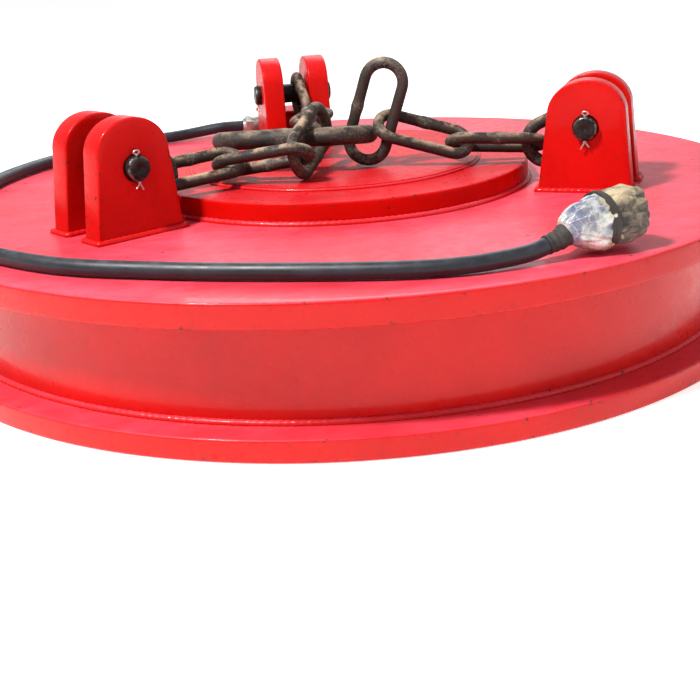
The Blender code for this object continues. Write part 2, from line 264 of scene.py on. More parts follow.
class Nodes:
    """Short calls for building one material's node tree."""

    def __init__(self, name):
        self.material = bpy.data.materials.new(name)
        self.material.use_nodes = True
        self.tree = self.material.node_tree
        self.shader = self.tree.nodes["Principled BSDF"]
        self.where = self.tree.nodes.new("ShaderNodeTexCoord").outputs["Object"]

    def set(self, **values):
        """Constants, each set on the shader's own socket."""
        for key, value in values.items():
            socket = self.shader.inputs[key.replace("_", " ")]
            socket.default_value = (*value, 1) if isinstance(value, tuple) else value

    def link(self, source, socket):
        self.tree.links.new(source, self.shader.inputs[socket])

    def scaled(self, scale):
        """Object coordinates stretched by a scale along each axis."""
        node = self.tree.nodes.new("ShaderNodeMapping")
        node.inputs["Scale"].default_value = scale
        self.tree.links.new(self.where, node.inputs["Vector"])
        return node.outputs["Vector"]

    def noise(self, scale, detail=4.0, rough=0.55, where=None, distort=0.0):
        node = self.tree.nodes.new("ShaderNodeTexNoise")
        node.inputs["Scale"].default_value = scale
        node.inputs["Detail"].default_value = detail
        node.inputs["Roughness"].default_value = rough
        node.inputs["Distortion"].default_value = distort
        self.tree.links.new(where or self.where, node.inputs["Vector"])
        return node.outputs["Fac"]

    def cells(self, scale, feature="F1"):
        node = self.tree.nodes.new("ShaderNodeTexVoronoi")
        node.feature = feature
        node.inputs["Scale"].default_value = scale
        self.tree.links.new(self.where, node.inputs["Vector"])
        return node.outputs["Distance"]

    def ramp(self, source, low, high, start=0.0, end=1.0):
        """Map a value from low..high to start..end, clamped."""
        node = self.tree.nodes.new("ShaderNodeMapRange")
        node.inputs["From Min"].default_value = low
        node.inputs["From Max"].default_value = high
        node.inputs["To Min"].default_value = start
        node.inputs["To Max"].default_value = end
        self.tree.links.new(source, node.inputs["Value"])
        return node.outputs["Result"]

    def math(self, how, first, second):
        node = self.tree.nodes.new("ShaderNodeMath")
        node.operation = how
        node.use_clamp = how in ("ADD", "MULTIPLY")
        for value, socket in ((first, node.inputs[0]), (second, node.inputs[1])):
            if isinstance(value, (int, float)):
                socket.default_value = value
            else:
                self.tree.links.new(value, socket)
        return node.outputs["Value"]

    def mix(self, amount, first, second):
        """Mix two colours; each is a tuple or a socket."""
        node = self.tree.nodes.new("ShaderNodeMix")
        node.data_type = "RGBA"
        self.tree.links.new(amount, node.inputs["Factor"])
        colour_sockets = [s for s in node.inputs if s.type == "RGBA"]
        for value, socket in zip((first, second), colour_sockets):
            if isinstance(value, tuple):
                socket.default_value = (*value, 1)
            else:
                self.tree.links.new(value, socket)
        return [s for s in node.outputs if s.type == "RGBA"][0]

    def attribute(self, name):
        node = self.tree.nodes.new("ShaderNodeAttribute")
        node.attribute_name = name
        return node.outputs["Fac"]

    def facing(self, none, full):
        """0 where the normal's upward part is none, rising to 1 where it is full."""
        node = self.tree.nodes.new("ShaderNodeNewGeometry")
        parts = self.tree.nodes.new("ShaderNodeSeparateXYZ")
        self.tree.links.new(node.outputs["Normal"], parts.inputs["Vector"])
        return self.ramp(parts.outputs["Z"], none, full)

    def facing_up(self):
        return self.facing(0.25, 0.95)

    def facing_down(self):
        return self.facing(-0.8, -0.98)

    def finish(self, base, rough, heights, distance):
        """Join colour, roughness and bump to the shader; gives back the material."""
        self.link(base, "Base Color")
        self.link(rough, "Roughness")
        self.bump(heights, distance)
        return self.material

    def bump(self, heights, distance):
        """Bump from several heights, each with its own strength, stacked."""
        before = None
        for source, strength in heights:
            node = self.tree.nodes.new("ShaderNodeBump")
            node.inputs["Strength"].default_value = strength
            node.inputs["Distance"].default_value = distance
            self.tree.links.new(source, node.inputs["Height"])
            if before:
                self.tree.links.new(before, node.inputs["Normal"])
            before = node.outputs["Normal"]
        self.link(before, "Normal")


# ---------- materials


def enamel(name, dust_and_sheen, streak, coat=0.20, shine=0.16, bare=False):
    """Brushed-on red enamel: gloss coat, a pale veil on top that is partly dust and partly a painted
    sheen of reflected sky, chipped edges and dark specks.

    With bare, a face that looks down has been rubbed to bright steel by its loads.
    """
    n = Nodes(name)
    broad = n.noise(5.0, 5, 0.6)
    fine = n.noise(60.0, 6, 0.62)
    strokes = n.noise(14.0, 5, 0.6, n.scaled(streak))
    base = n.mix(n.ramp(broad, 0.30, 0.72, 0.45, 1.0), RED_DEEP, RED)
    base = n.mix(n.ramp(strokes, 0.56, 0.80, 0.0, 0.45), base, RED_DEEP)
    dust_and_sheen_amount = n.ramp(n.noise(2.6, 3, 0.5), 0.30, 0.72, dust_and_sheen * 0.45, dust_and_sheen)
    dust_and_sheen_grain = n.ramp(n.noise(30.0, 8, 0.74, n.scaled((0.5, 1.0, 1.0))), 0.36, 0.66, 0.55, 1.0)
    # Upward faces take the pale pink: dust with a painted sheen of reflected sky
    dust_and_sheen_mask = n.math("MULTIPLY", n.facing_up(), n.math("MULTIPLY", dust_and_sheen_amount, dust_and_sheen_grain))
    base = n.mix(dust_and_sheen_mask, base, RED_DUST_AND_SHEEN)
    chips = n.math("MULTIPLY", n.attribute("edge"), n.ramp(n.noise(95.0, 5, 0.7), 0.60, 0.66))
    specks = n.ramp(n.noise(42.0, 3, 0.5), 0.735, 0.75)
    worn = n.math("ADD", chips, specks)
    base = n.mix(worn, base, PRIMER)
    if bare:
        rubbed = n.math("MULTIPLY", n.facing_down(), n.ramp(n.noise(11.0, 7, 0.72), 0.34, 0.46))
        steel = n.mix(n.ramp(fine, 0.35, 0.65), (0.17, 0.155, 0.145), (0.34, 0.33, 0.32))
        base = n.mix(rubbed, base, steel)
        n.link(n.math("MULTIPLY", rubbed, 0.8), "Metallic")
    rough = n.ramp(fine, 0.3, 0.7, 0.22, 0.42)
    rough = n.math("ADD", rough, n.math("MULTIPLY", dust_and_sheen_mask, 0.35))
    rough = n.math("ADD", rough, n.math("MULTIPLY", worn, 0.4))
    n.set(Coat_Weight=coat, Coat_Roughness=0.08, Specular_IOR_Level=shine)
    heights = [(broad, 0.10), (strokes, 0.12), (fine, 0.07), (worn, -0.5)]
    return n.finish(base, rough, heights, 0.004)


def rust(name, light=0.45):
    """Forged chain: dark scale and brown rust, with a pale bloom on its upper side that is partly dry
    rust and partly a painted highlight.
    """
    n = Nodes(name)
    broad = n.noise(18.0, 6, 0.65)
    grain = n.noise(240.0, 6, 0.7)
    pits = n.cells(330.0)
    base = n.mix(n.ramp(broad, 0.36, 0.64), (0.004, 0.003, 0.0025), (0.032, 0.015, 0.009))
    base = n.mix(n.ramp(grain, 0.56, 0.74, 0.0, 0.6), base, (0.120, 0.062, 0.032))
    # Pale bloom on upward faces: partly dry rust, partly a painted highlight from the light above
    bloom_and_highlight_amount = n.ramp(n.noise(34.0, 6, 0.7), 0.45, 0.60, 0.0, light * 1.8)
    bloom = n.math("MULTIPLY", n.facing_up(), bloom_and_highlight_amount)
    base = n.mix(bloom, base, (0.500, 0.350, 0.225))
    rubbed = n.math("MULTIPLY", n.attribute("edge"), n.ramp(grain, 0.45, 0.62))
    base = n.mix(rubbed, base, (0.22, 0.19, 0.16))
    n.link(n.ramp(rubbed, 0.0, 1.0, 0.1, 0.7), "Metallic")
    rough = n.ramp(grain, 0.3, 0.7, 0.48, 0.82)
    return n.finish(base, rough, [(broad, 0.25), (grain, 0.30), (pits, 0.18)], 0.0015)


def dark_steel(name):
    """Oiled black pin steel."""
    n = Nodes(name)
    grain = n.noise(180.0, 5, 0.6)
    blot = n.noise(30.0, 4, 0.6)
    base = n.mix(n.ramp(blot, 0.35, 0.7), (0.006, 0.006, 0.007), (0.030, 0.024, 0.022))
    rubbed = n.math("MULTIPLY", n.attribute("edge"), n.ramp(grain, 0.4, 0.6))
    base = n.mix(rubbed, base, (0.16, 0.15, 0.14))
    n.set(Metallic=0.75)
    return n.finish(base, n.ramp(blot, 0.3, 0.7, 0.28, 0.5), [(grain, 0.12), (blot, 0.08)], 0.001)


def zinc_plate(name):
    """Dull spangled zinc plating with brown grime."""
    n = Nodes(name)
    spangle = n.cells(120.0)
    grime = n.noise(70.0, 5, 0.65)
    base = n.mix(n.ramp(spangle, 0.1, 0.7), ZINC, tuple(c * 0.72 for c in ZINC))
    base = n.mix(n.ramp(grime, 0.55, 0.75, 0.0, 0.8), base, (0.16, 0.11, 0.07))
    n.set(Metallic=0.9)
    return n.finish(base, n.ramp(grime, 0.3, 0.7, 0.25, 0.55), [(grime, 0.12)], 0.001)


def pole_steel(name):
    """Steel of the core and inner pole shoe: scuffs along one way and rust spots."""
    n = Nodes(name)
    scuff = n.noise(26.0, 6, 0.7, n.scaled((1.0, 6.0, 1.0)))
    spots = n.noise(16.0, 7, 0.7)
    base = n.mix(n.ramp(scuff, 0.3, 0.7), (0.300, 0.300, 0.309), (0.180, 0.174, 0.168))
    base = n.mix(n.ramp(spots, 0.56, 0.68, 0.0, 0.85), base, (0.15, 0.065, 0.03))
    n.set(Metallic=0.85)
    return n.finish(base, n.ramp(scuff, 0.3, 0.7, 0.25, 0.5), [(scuff, 0.15), (spots, 0.1)], 0.002)


def shield_plate(name):
    """Non-magnetic bottom plate, dull grey with sweeping scratches."""
    n = Nodes(name)
    sweep = n.noise(40.0, 5, 0.7, n.scaled((7.0, 1.0, 1.0)))
    heat = n.noise(7.0, 4, 0.6)
    base = n.mix(n.ramp(sweep, 0.35, 0.65), (0.20, 0.20, 0.205), (0.33, 0.32, 0.31))
    base = n.mix(n.ramp(heat, 0.5, 0.75, 0.0, 0.5), base, (0.12, 0.09, 0.07))
    n.set(Metallic=0.8)
    return n.finish(base, n.ramp(sweep, 0.3, 0.7, 0.35, 0.6), [(sweep, 0.2)], 0.001)


def wound_coil(name):
    """Flat strip coil: fine vertical bands of metal and paper."""
    n = Nodes(name)
    bands = n.noise(420.0, 2, 0.5, n.scaled((1.0, 1.0, 0.02)))
    stain = n.noise(12.0, 4, 0.6)
    base = n.mix(n.ramp(bands, 0.45, 0.55), (0.55, 0.26, 0.13), (0.30, 0.20, 0.11))
    base = n.mix(n.ramp(stain, 0.5, 0.8, 0.0, 0.6), base, (0.12, 0.05, 0.03))
    n.set(Metallic=0.6)
    return n.finish(base, n.ramp(bands, 0.3, 0.7, 0.35, 0.6), [(bands, 0.2)], 0.001)


def fibre_board(name):
    """Pressed insulation board."""
    n = Nodes(name)
    fibres = n.noise(150.0, 6, 0.7, n.scaled((1.0, 5.0, 1.0)))
    base = n.mix(n.ramp(fibres, 0.3, 0.7), (0.42, 0.30, 0.13), (0.60, 0.48, 0.26))
    return n.finish(base, n.ramp(fibres, 0.3, 0.7, 0.7, 0.9), [(fibres, 0.25)], 0.001)


def cable_rubber(name):
    """Black rubber sheath with a blue-grey bloom, and dust with a painted sheen on its upper side."""
    n = Nodes(name)
    bloom = n.noise(20.0, 5, 0.65)
    grain = n.noise(420.0, 4, 0.6)
    base = n.mix(n.ramp(bloom, 0.3, 0.7), (0.004, 0.005, 0.008), (0.014, 0.018, 0.026))
    # Lighter blue-grey on upward faces: dust with a painted sheen from the light above
    dust_and_sheen = n.math("MULTIPLY", n.facing_up(), n.ramp(n.noise(48.0, 6, 0.7), 0.46, 0.74, 0.0, 0.45))
    base = n.mix(dust_and_sheen, base, (0.085, 0.105, 0.140))
    n.set(Sheen_Weight=0.12, Sheen_Roughness=0.4, Specular_IOR_Level=0.5)
    return n.finish(base, n.ramp(bloom, 0.3, 0.7, 0.34, 0.56), [(grain, 0.12), (bloom, 0.1)], 0.001)


def wrap_film(name):
    """Crumpled silvery film with violet-blue and tan patches, painted shade in its creases and painted
    highlights along its fold lines.
    """
    n = Nodes(name)
    crush = n.noise(95.0, 6, 0.70, None, 1.8)
    creases = n.ramp(n.cells(60.0, feature="DISTANCE_TO_EDGE"), 0.0, 0.06, 1.0, 0.0)
    base = n.mix(n.ramp(n.noise(40.0, 4, 0.6), 0.40, 0.62), (0.30, 0.31, 0.30), (0.72, 0.75, 0.70))
    base = n.mix(n.ramp(n.noise(19.0, 3, 0.5), 0.50, 0.60, 0.0, 0.80), base, (0.05, 0.055, 0.15))
    tan = n.noise(24.0, 3, 0.5, n.scaled((1.0, 0.7, 1.3)))
    base = n.mix(n.ramp(tan, 0.56, 0.64, 0.0, 0.75), base, (0.46, 0.32, 0.15))
    # Dark patches: painted shade in the hollows of the crumpled film
    base = n.mix(n.ramp(crush, 0.56, 0.66, 0.0, 0.85), base, (0.045, 0.040, 0.050))
    # Crease lines brightened: a painted highlight along the folds
    base = n.mix(n.math("MULTIPLY", creases, 0.25), base, (0.90, 0.91, 0.88))
    n.set(Metallic=0.15, Coat_Weight=0.6, Coat_Roughness=0.06)
    rough = n.ramp(crush, 0.3, 0.7, 0.12, 0.40)
    return n.finish(base, rough, [(crush, 0.45), (creases, 0.2)], 0.002)


def wrap_cloth(name):
    """Tan packing cloth with olive dirt patches; painted shade turns it near-black on its sides and
    underside.
    """
    n = Nodes(name)
    weave = n.noise(520.0, 2, 0.5)
    dirt = n.noise(30.0, 7, 0.72, None, 0.9)
    lit = n.mix(n.ramp(dirt, 0.40, 0.60), (0.46, 0.37, 0.22), (0.13, 0.10, 0.055))
    shaded = n.mix(n.ramp(dirt, 0.40, 0.60), (0.16, 0.12, 0.085), (0.022, 0.016, 0.016))
    # Painted shade: the cloth takes its shaded copy where it faces away from the light above
    base = n.mix(n.facing_up(), shaded, lit)
    base = n.mix(n.ramp(n.noise(60.0, 4, 0.6), 0.60, 0.70, 0.0, 0.7), base, (0.58, 0.50, 0.36))
    n.set(Sheen_Weight=0.1, Sheen_Roughness=0.5)
    return n.finish(base, n.ramp(dirt, 0.3, 0.7, 0.50, 0.80), [(weave, 0.35), (dirt, 0.30)], 0.0015)


def binding_tape(name):
    """Dark cloth tape with its weave and frayed grime."""
    n = Nodes(name)
    weave = n.noise(700.0, 2, 0.5)
    grime = n.noise(60.0, 5, 0.7)
    base = n.mix(n.ramp(grime, 0.35, 0.7), (0.010, 0.009, 0.009), (0.055, 0.046, 0.036))
    return n.finish(base, n.ramp(grime, 0.3, 0.7, 0.55, 0.85), [(weave, 0.3), (grime, 0.2)], 0.0012)


def pale_floor(name):
    """Smooth pale studio floor."""
    n = Nodes(name)
    cloud = n.noise(1.5, 3, 0.5)
    n.link(n.mix(n.ramp(cloud, 0.3, 0.7), (0.86, 0.86, 0.86), (0.90, 0.90, 0.90)), "Base Color")
    n.set(Roughness=0.8, Specular_IOR_Level=0.1)
    n.set(Emission_Color=(1.0, 1.0, 1.0), Emission_Strength=0.60)
    return n.material


# ---------- mesh helpers


def add_piece(name, bm, material, body, nodes=(), sharp=40.0):
    """Turn a bmesh into a smooth piece that rides on a body and stands for CAD nodes."""
    bmesh.ops.recalc_face_normals(bm, faces=bm.faces)
    mesh = bpy.data.meshes.new(name)
    bm.to_mesh(mesh)
    bm.free()
    mesh.materials.append(material)
    mesh.shade_smooth()
    mesh.set_sharp_from_angle(angle=radians(sharp))
    piece = add_object(name, mesh)
    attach(piece, body)
    if nodes:
        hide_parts(*nodes)
    return piece


def edge_layer(bm):
    """The vertex value that tells a material where the sharp edges are."""
    return bm.verts.layers.float.get("edge") or bm.verts.layers.float.new("edge")


def turn_angles(count):
    """Angles spread evenly round a full turn."""
    return [2 * pi * i / count for i in range(count)]


def spokes(side, rise, count):
    """Directions spread evenly round a full turn, from side towards rise."""
    return [side * cos(a) + rise * sin(a) for a in turn_angles(count)]


def add_ring(bm, points, edge=None):
    """Add a ring of vertices, all with the same edge value if one is given."""
    layer = None if edge is None else edge_layer(bm)
    ring = [bm.verts.new(point) for point in points]
    if layer is not None:
        for vert in ring:
            vert[layer] = edge
    return ring


def skin(bm, rings, loop=False):
    """Join each ring to the next with quads, and in a loop the last to the first."""
    following = rings[1:] + rings[:1] if loop else rings[1:]
    for first, second in zip(rings, following):
        for i in range(len(first)):
            j = (i + 1) % len(first)
            bm.faces.new((first[i], first[j], second[j], second[i]))


def cap(bm, rings):
    """Close both ends of a run of rings."""
    bm.faces.new(rings[0])
    bm.faces.new(list(reversed(rings[-1])))


def rounded_outline(corners, radius, steps=4, spread=3.0):
    """A closed outline with each corner rounded, and points beside it, as (x, y, edge)."""
    outline = []
    count = len(corners)
    for i in range(count):
        before = Vector(corners[i - 1])
        here = Vector(corners[i])
        after = Vector(corners[(i + 1) % count])
        if here.x <= 1e-6:
            outline.append((here.x, here.y, 0.0))
            continue
        back = (before - here).normalized()
        ahead = (after - here).normalized()
        reach_back = min(radius, (before - here).length * 0.3)
        reach_ahead = min(radius, (after - here).length * 0.3)
        far_back = min(radius * spread, (before - here).length * 0.45)
        far_ahead = min(radius * spread, (after - here).length * 0.45)
        outline.append((*(here + back * far_back), 0.0))
        for k in range(steps + 1):
            t = k / steps
            a = here + back * reach_back
            b = here + ahead * reach_ahead
            point = (1 - t) ** 2 * a + 2 * t * (1 - t) * here + t**2 * b
            outline.append((*point, 1.0))
        outline.append((*(here + ahead * far_ahead), 0.0))
    return outline


def turned(name, corners, material, node, radius, wobble):
    """Spin an outline of (radius, height) corners round +Z, its edges rounded."""
    bm = bmesh.new()
    rings = []
    for r, z, edge in rounded_outline(corners, radius):
        if r <= 1e-6:
            rings.append(add_ring(bm, [(0, 0, z)], 0.0))
            continue
        points = []
        for a in turn_angles(ROUND):
            dent = wobble * noise.noise(Vector((cos(a), sin(a), z * 3)) * 3.0)
            points.append(((r + dent) * cos(a), (r + dent) * sin(a), z))
        rings.append(add_ring(bm, points, edge))
    for first, second in zip(rings, rings[1:] + rings[:1]):
        if len(first) == 1 and len(second) == 1:
            continue
        for i in range(ROUND):
            j = (i + 1) % ROUND
            around = [first[i % len(first)], first[j % len(first)]]
            around += [second[j % len(second)], second[i % len(second)]]
            bm.faces.new(list(dict.fromkeys(around)))
    add_piece(name, bm, material, "housing", [node])


def weld_bead(name, path, radius, material, seed):
    """A rippled weld bead along a closed path, like a row of overlapping pools."""
    rng = random.Random(seed)
    bm = bmesh.new()
    rings = []
    up = Vector((0, 0, 1))
    for i, here in enumerate(path):
        along = (path[(i + 1) % len(path)] - path[i - 1]).normalized()
        side = along.cross(up).normalized() if abs(along.z) < 0.95 else Vector((1, 0, 0))
        rise = side.cross(along)
        ripple = 0.86 + 0.14 * abs(sin(i * pi / 3)) + rng.uniform(-0.05, 0.05)
        points = [here + way * radius * ripple for way in spokes(side, rise, WELD_SIDES)]
        rings.append(add_ring(bm, points, 0.25))
    skin(bm, rings, loop=True)
    add_piece(name, bm, material, "housing", sharp=180.0)


def circle_path(radius, height):
    """Points round a circle about +Z, a whole number of the weld's ripples."""
    count = int(2 * pi * radius / WELD_STEP / 3) * 3
    return [Vector((radius * cos(a), radius * sin(a), height)) for a in turn_angles(count)]


def closed_path(corners):
    """Points along a closed run of corners, a weld's step apart."""
    path = []
    for start, end in zip(corners, corners[1:] + corners[:1]):
        start, end = Vector(start), Vector(end)
        count = max(1, round((end - start).length / WELD_STEP))
        path += [start.lerp(end, i / count) for i in range(count)]
    return path


def radial(angle, out, across, height):
    """A point given in a lug's own frame."""
    a = radians(angle)
    outward = Vector((cos(a), sin(a), 0))
    sideways = Vector((-sin(a), cos(a), 0))
    return outward * out + sideways * across + Vector((0, 0, height))


# ---------- pieces


def housing(paint_side, paint_top, paint_boss, paint_pole, steel):
    """Flange, wall, deck, boss and cover, with the weld beads between them."""
    flange, wall, deck = (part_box(node) for node in ("outer_pole_ring", "housing_wall", "deck_plate"))
    boss, cover = (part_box(node) for node in ("centre_boss", "boss_cover"))
    plate, shoe = (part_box(node) for node in ("bottom_plate", "inner_pole_shoe"))
    wall_in = wall[1].x - WALL_THICK
    # Name, CAD node, its box, inner radius, paint, rounding, dents
    turnings = [
        ("flange_ring", "outer_pole_ring", flange, POLE_IN_R, paint_pole, EDGE_ROUND, 0.0006),
        ("wall_shell", "housing_wall", wall, wall_in, paint_side, 0.001, 0.0012),
        ("deck_disc", "deck_plate", deck, 0, paint_top, EDGE_ROUND, 0.0006),
        ("boss_disc", "centre_boss", boss, 0, paint_boss, EDGE_ROUND, 0.0),
        ("cover_disc", "boss_cover", cover, 0, paint_boss, 0.0015, 0.0),
    ]
    for name, node, (low, high), inner, paint, radius, wobble in turnings:
        corners = [(inner, low.z), (high.x, low.z), (high.x, high.z), (inner, high.z)]
        turned(name, corners, paint, node, radius, wobble)
    # Name, the seam's radius and height, the bead's own radius, material, seed
    seams = [
        ("weld_flange_wall", wall[1].x + WELD_LAP, flange[1].z + WELD_LAP, 0.0065, paint_side, 1),
        ("weld_wall_deck", wall[1].x + WELD_LAP, deck[0].z - WELD_LAP, 0.0060, paint_side, 2),
        ("weld_boss_deck", boss[1].x + WELD_LAP, deck[1].z + WELD_LAP, 0.0062, paint_side, 3),
        ("weld_cover_boss", cover[1].x, boss[1].z + WELD_LAP, 0.0034, paint_side, 4),
        ("weld_plate_outer", POLE_IN_R, plate[0].z, 0.0040, steel, 11),
        ("weld_plate_inner", shoe[1].x, plate[0].z, 0.0040, steel, 12),
    ]
    for name, radius, height, size, material, seed in seams:
        weld_bead(name, circle_path(radius, height), size, material, seed)


def lug_outline(low, steps=28):
    """Outline of a lug plate in its own plane: tapered sides and a rounded top."""
    top = PIN_Z + LUG_RISE
    points = [(-LUG_BASE / 2, low), (LUG_BASE / 2, low)]
    for i in range(steps + 1):
        angle = pi * i / steps
        across = LUG_TOP_W / 2 * cos(angle)
        points.append((across, top - LUG_SHOULDER + LUG_SHOULDER * sin(angle)))
    return points


def inset_outline(points, amount):
    """The outline pulled in by an amount all round."""
    result = []
    count = len(points)
    for i in range(count):
        before = Vector(points[i - 1])
        here = Vector(points[i])
        after = Vector(points[(i + 1) % count])
        first = (here - before).normalized()
        second = (after - here).normalized()
        normal = Vector((-first.y, first.x)) + Vector((-second.y, second.x))
        normal.normalize()
        share = max(0.3, normal.dot(Vector((-first.y, first.x))))
        result.append(here + normal * amount / share)
    return result


def plate_profile(near):
    """Depth, inset and edge value of each ring across a lug plate, its edges rounded."""
    first = []
    for k in range(5):
        turn = pi / 2 * k / 4
        first.append((near + LUG_EDGE * (1 - cos(turn)), LUG_EDGE * (1 - sin(turn)), 1.0))
    last = [(2 * near + LUG_THICK - depth, inset, edge) for depth, inset, edge in reversed(first)]
    return [*first, (near + LUG_THICK / 2, 0.0, 0.0), *last]


def bored_face(bm, rim, outline, depth, lip, place):
    """A lug plate's face round its pin hole; gives back the first ring down the hole."""
    low = outline[0][1]
    inner = inset_outline(outline, LUG_EDGE + LUG_FACE_MARGIN)
    face_ring = add_ring(bm, [place(p.x, depth, max(p.y, low + 0.004)) for p in inner])
    skin(bm, [rim, face_ring])
    circles = []
    shape = (
        (PIN_HOLE_R + 0.010, depth, 0.0),
        (PIN_HOLE_R + PIN_HOLE_LIP, depth, 1.0),
        (PIN_HOLE_R, depth + lip, 1.0),
    )
    for radius, at, edge in shape:
        angles = turn_angles(PIN_HOLE_STEPS)
        points = [place(radius * cos(a), at, PIN_Z + radius * sin(a)) for a in angles]
        circles.append(add_ring(bm, points, edge))
    skin(bm, circles)
    bounds = []
    for ring in (set(face_ring), set(circles[0])):
        bounds += [e for e in bm.edges if all(v in ring for v in e.verts)]
    bmesh.ops.triangle_fill(bm, use_beauty=True, use_dissolve=False, edges=bounds)
    return circles[-1]


def lug_plate(lug, side_name, paint):
    """One lug plate: rounded edges all round, a bored hole with a worn lip, and its weld."""
    node = f"lug_{lug}_plate_{side_name}"
    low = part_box(node)[0].z
    side = -1 if side_name == "a" else 1
    near = LUG_GAP / 2
    far = near + LUG_THICK
    outline = lug_outline(low)

    def place(x, depth, height):
        return radial(LUG_ANGLES[lug], LUG_R + x, depth * side, height)

    bm = bmesh.new()
    rings = []
    for depth, inset, edge in plate_profile(near):
        points = [place(p.x, depth, max(p.y, low)) for p in inset_outline(outline, inset)]
        rings.append(add_ring(bm, points, edge))
    skin(bm, rings)
    first = bored_face(bm, rings[0], outline, near, PIN_HOLE_LIP, place)
    last = bored_face(bm, rings[-1], outline, far, -PIN_HOLE_LIP, place)
    skin(bm, [first, last])
    add_piece(f"lug_plate_{lug}_{side_name}", bm, paint, "housing", [node], sharp=30.0)
    half = LUG_BASE / 2 + WELD_LAP
    corners = [(-half, near - WELD_LAP), (half, near - WELD_LAP)]
    corners += [(half, far + WELD_LAP), (-half, far + WELD_LAP)]
    path = closed_path([place(x, y, low + WELD_LAP) for x, y in corners])
    weld_bead(f"weld_lug_{lug}_{side_name}", path, LUG_WELD_R, paint, hash_seed(lug, side_name))


def hash_seed(*words):
    """A whole number from words, the same in every run."""
    return sum(ord(c) * (i + 1) for i, c in enumerate("".join(words)))


def tube(bm, path, radius, sides, edge):
    """Add a round tube along a path; radius takes the share of the path and gives a size."""
    rings = []
    side = (path[1] - path[0]).normalized().orthogonal().normalized()
    for i, here in enumerate(path):
        along = (path[min(i + 1, len(path) - 1)] - path[max(i - 1, 0)]).normalized()
        side = (side - along * side.dot(along)).normalized()
        rise = along.cross(side)
        size = radius(i / (len(path) - 1))
        rings.append(add_ring(bm, [here + way * size for way in spokes(side, rise, sides)], edge))
    skin(bm, rings)
    cap(bm, rings)


def lathe_along(bm, start, along, outline, sides=48):
    """Add a solid turned about a line: outline of (distance along, radius, edge)."""
    side = along.orthogonal().normalized()
    rise = along.cross(side)
    ways = spokes(side, rise, sides)
    rings = []
    for distance, radius, edge in outline:
        centre = start + along * distance
        rings.append(add_ring(bm, [centre + way * radius for way in ways], edge))
    skin(bm, rings)
    cap(bm, rings)


def lug_pin(lug, steel, zinc):
    """A pin with turned ends and a shallow centre mark, and its two opened split pins."""
    angle = LUG_ANGLES[lug]
    along = radial(angle, 0, 1, 0).normalized()
    start = radial(angle, LUG_R, -PIN_HALF, PIN_Z)
    length = 2 * PIN_HALF
    outline = [
        (0.0012, 0.002, 0.0),
        (0.0, 0.004, 0.0),
        (0.0, PIN_R - 0.0040, 0.2),
        (0.0006, PIN_R - 0.0022, 1.0),
        (0.0022, PIN_R - 0.0004, 1.0),
        (0.0040, PIN_R, 0.4),
        (0.0110, PIN_R, 0.0),
    ]
    mirrored = [(length - d, r, e) for d, r, e in reversed(outline)]
    bm = bmesh.new()
    lathe_along(bm, start, along, outline + [(length / 2, PIN_R, 0.0)] + mirrored)
    add_piece(f"pin_body_{lug}", bm, steel, f"pin_{lug}", [f"pin_{lug}"])
    for name, side in (("a", -1), ("b", 1)):
        split_pin(lug, name, side, zinc)


def split_pin(lug, name, side, zinc):
    """A split pin: eye above the lug pin, two legs through it, bent apart below."""
    half, near = 0.0012, 0.0011
    route = [(-half, SPLIT_LOW, -0.0060), (-half, SPLIT_LOW + 0.006, -0.0030)]
    route += [(-half, -PIN_R - 0.002, -near), (-half, 0.0, -near), (-half, PIN_R, -near)]
    top = PIN_R + 0.0047
    for i in range(9):
        a = -pi * 0.80 + pi * 1.60 * i / 8
        route.append((0.0, top + SPLIT_EYE * cos(a) * 0.6, SPLIT_EYE * sin(a)))
    route += [(half, PIN_R, near), (half, 0.0, near), (half, -PIN_R - 0.002, near)]
    route += [(half, SPLIT_LOW + 0.008, 0.0030), (half, SPLIT_LOW + 0.003, 0.0070)]
    angle = LUG_ANGLES[lug]
    path = [radial(angle, LUG_R + z, SPLIT_AT * side + x * 0.6, PIN_Z + y) for x, y, z in route]
    smooth, _ = smooth_curve(path, 60, 8)
    bm = bmesh.new()
    tube(bm, smooth, lambda share: SPLIT_WIRE_R, 8, 0.2)
    node = f"split_pin_{lug}_{name}"
    add_piece(f"cotter_{lug}_{name}", bm, zinc, f"pin_{lug}", [node], sharp=60.0)


def link_shape(node):
    """Centre, axes and sizes of a CAD link, measured from its mesh."""
    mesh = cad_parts[node].data
    points = np.array([v.co for v in mesh.vertices], float)
    centre = points.mean(0)
    values, vectors = np.linalg.eigh(np.cov((points - centre).T))
    order = values.argsort()[::-1]
    axes = [Vector(vectors[:, i]) for i in order]
    spans = []
    for axis in axes:
        along = (points - centre) @ np.array(axis)
        spans.append((along.min(), along.max()))
    shift = sum((axis * (low + high) / 2 for axis, (low, high) in zip(axes, spans)), Vector((0, 0, 0)))
    sizes = [high - low for low, high in spans]
    return Vector(centre) + shift, axes, sizes


def link_stations(along, across, straight, bend, weld_side, wire):
    """Places along a link's bar: each with its way out, collar and how near a bend's crown."""
    stations = []
    for end in (1, -1):
        for i in range(BEND_STEPS + 1):
            turn = pi * i / BEND_STEPS - pi / 2
            out = end * (cos(turn) * along + sin(turn) * across)
            stations.append((along * straight * end + out * bend, out, 0.0, cos(turn)))
        for i in range(1, STRAIGHT_STEPS):
            part = i / STRAIGHT_STEPS
            run = straight * end * (1 - 2 * part)
            out = across * end
            mid = abs(part - 0.5) * 2 * straight
            collar = exp(-((mid / (wire * COLLAR_REACH)) ** 2)) if end == weld_side else 0.0
            stations.append((along * run + out * bend, out, collar, 0.0))
    return stations


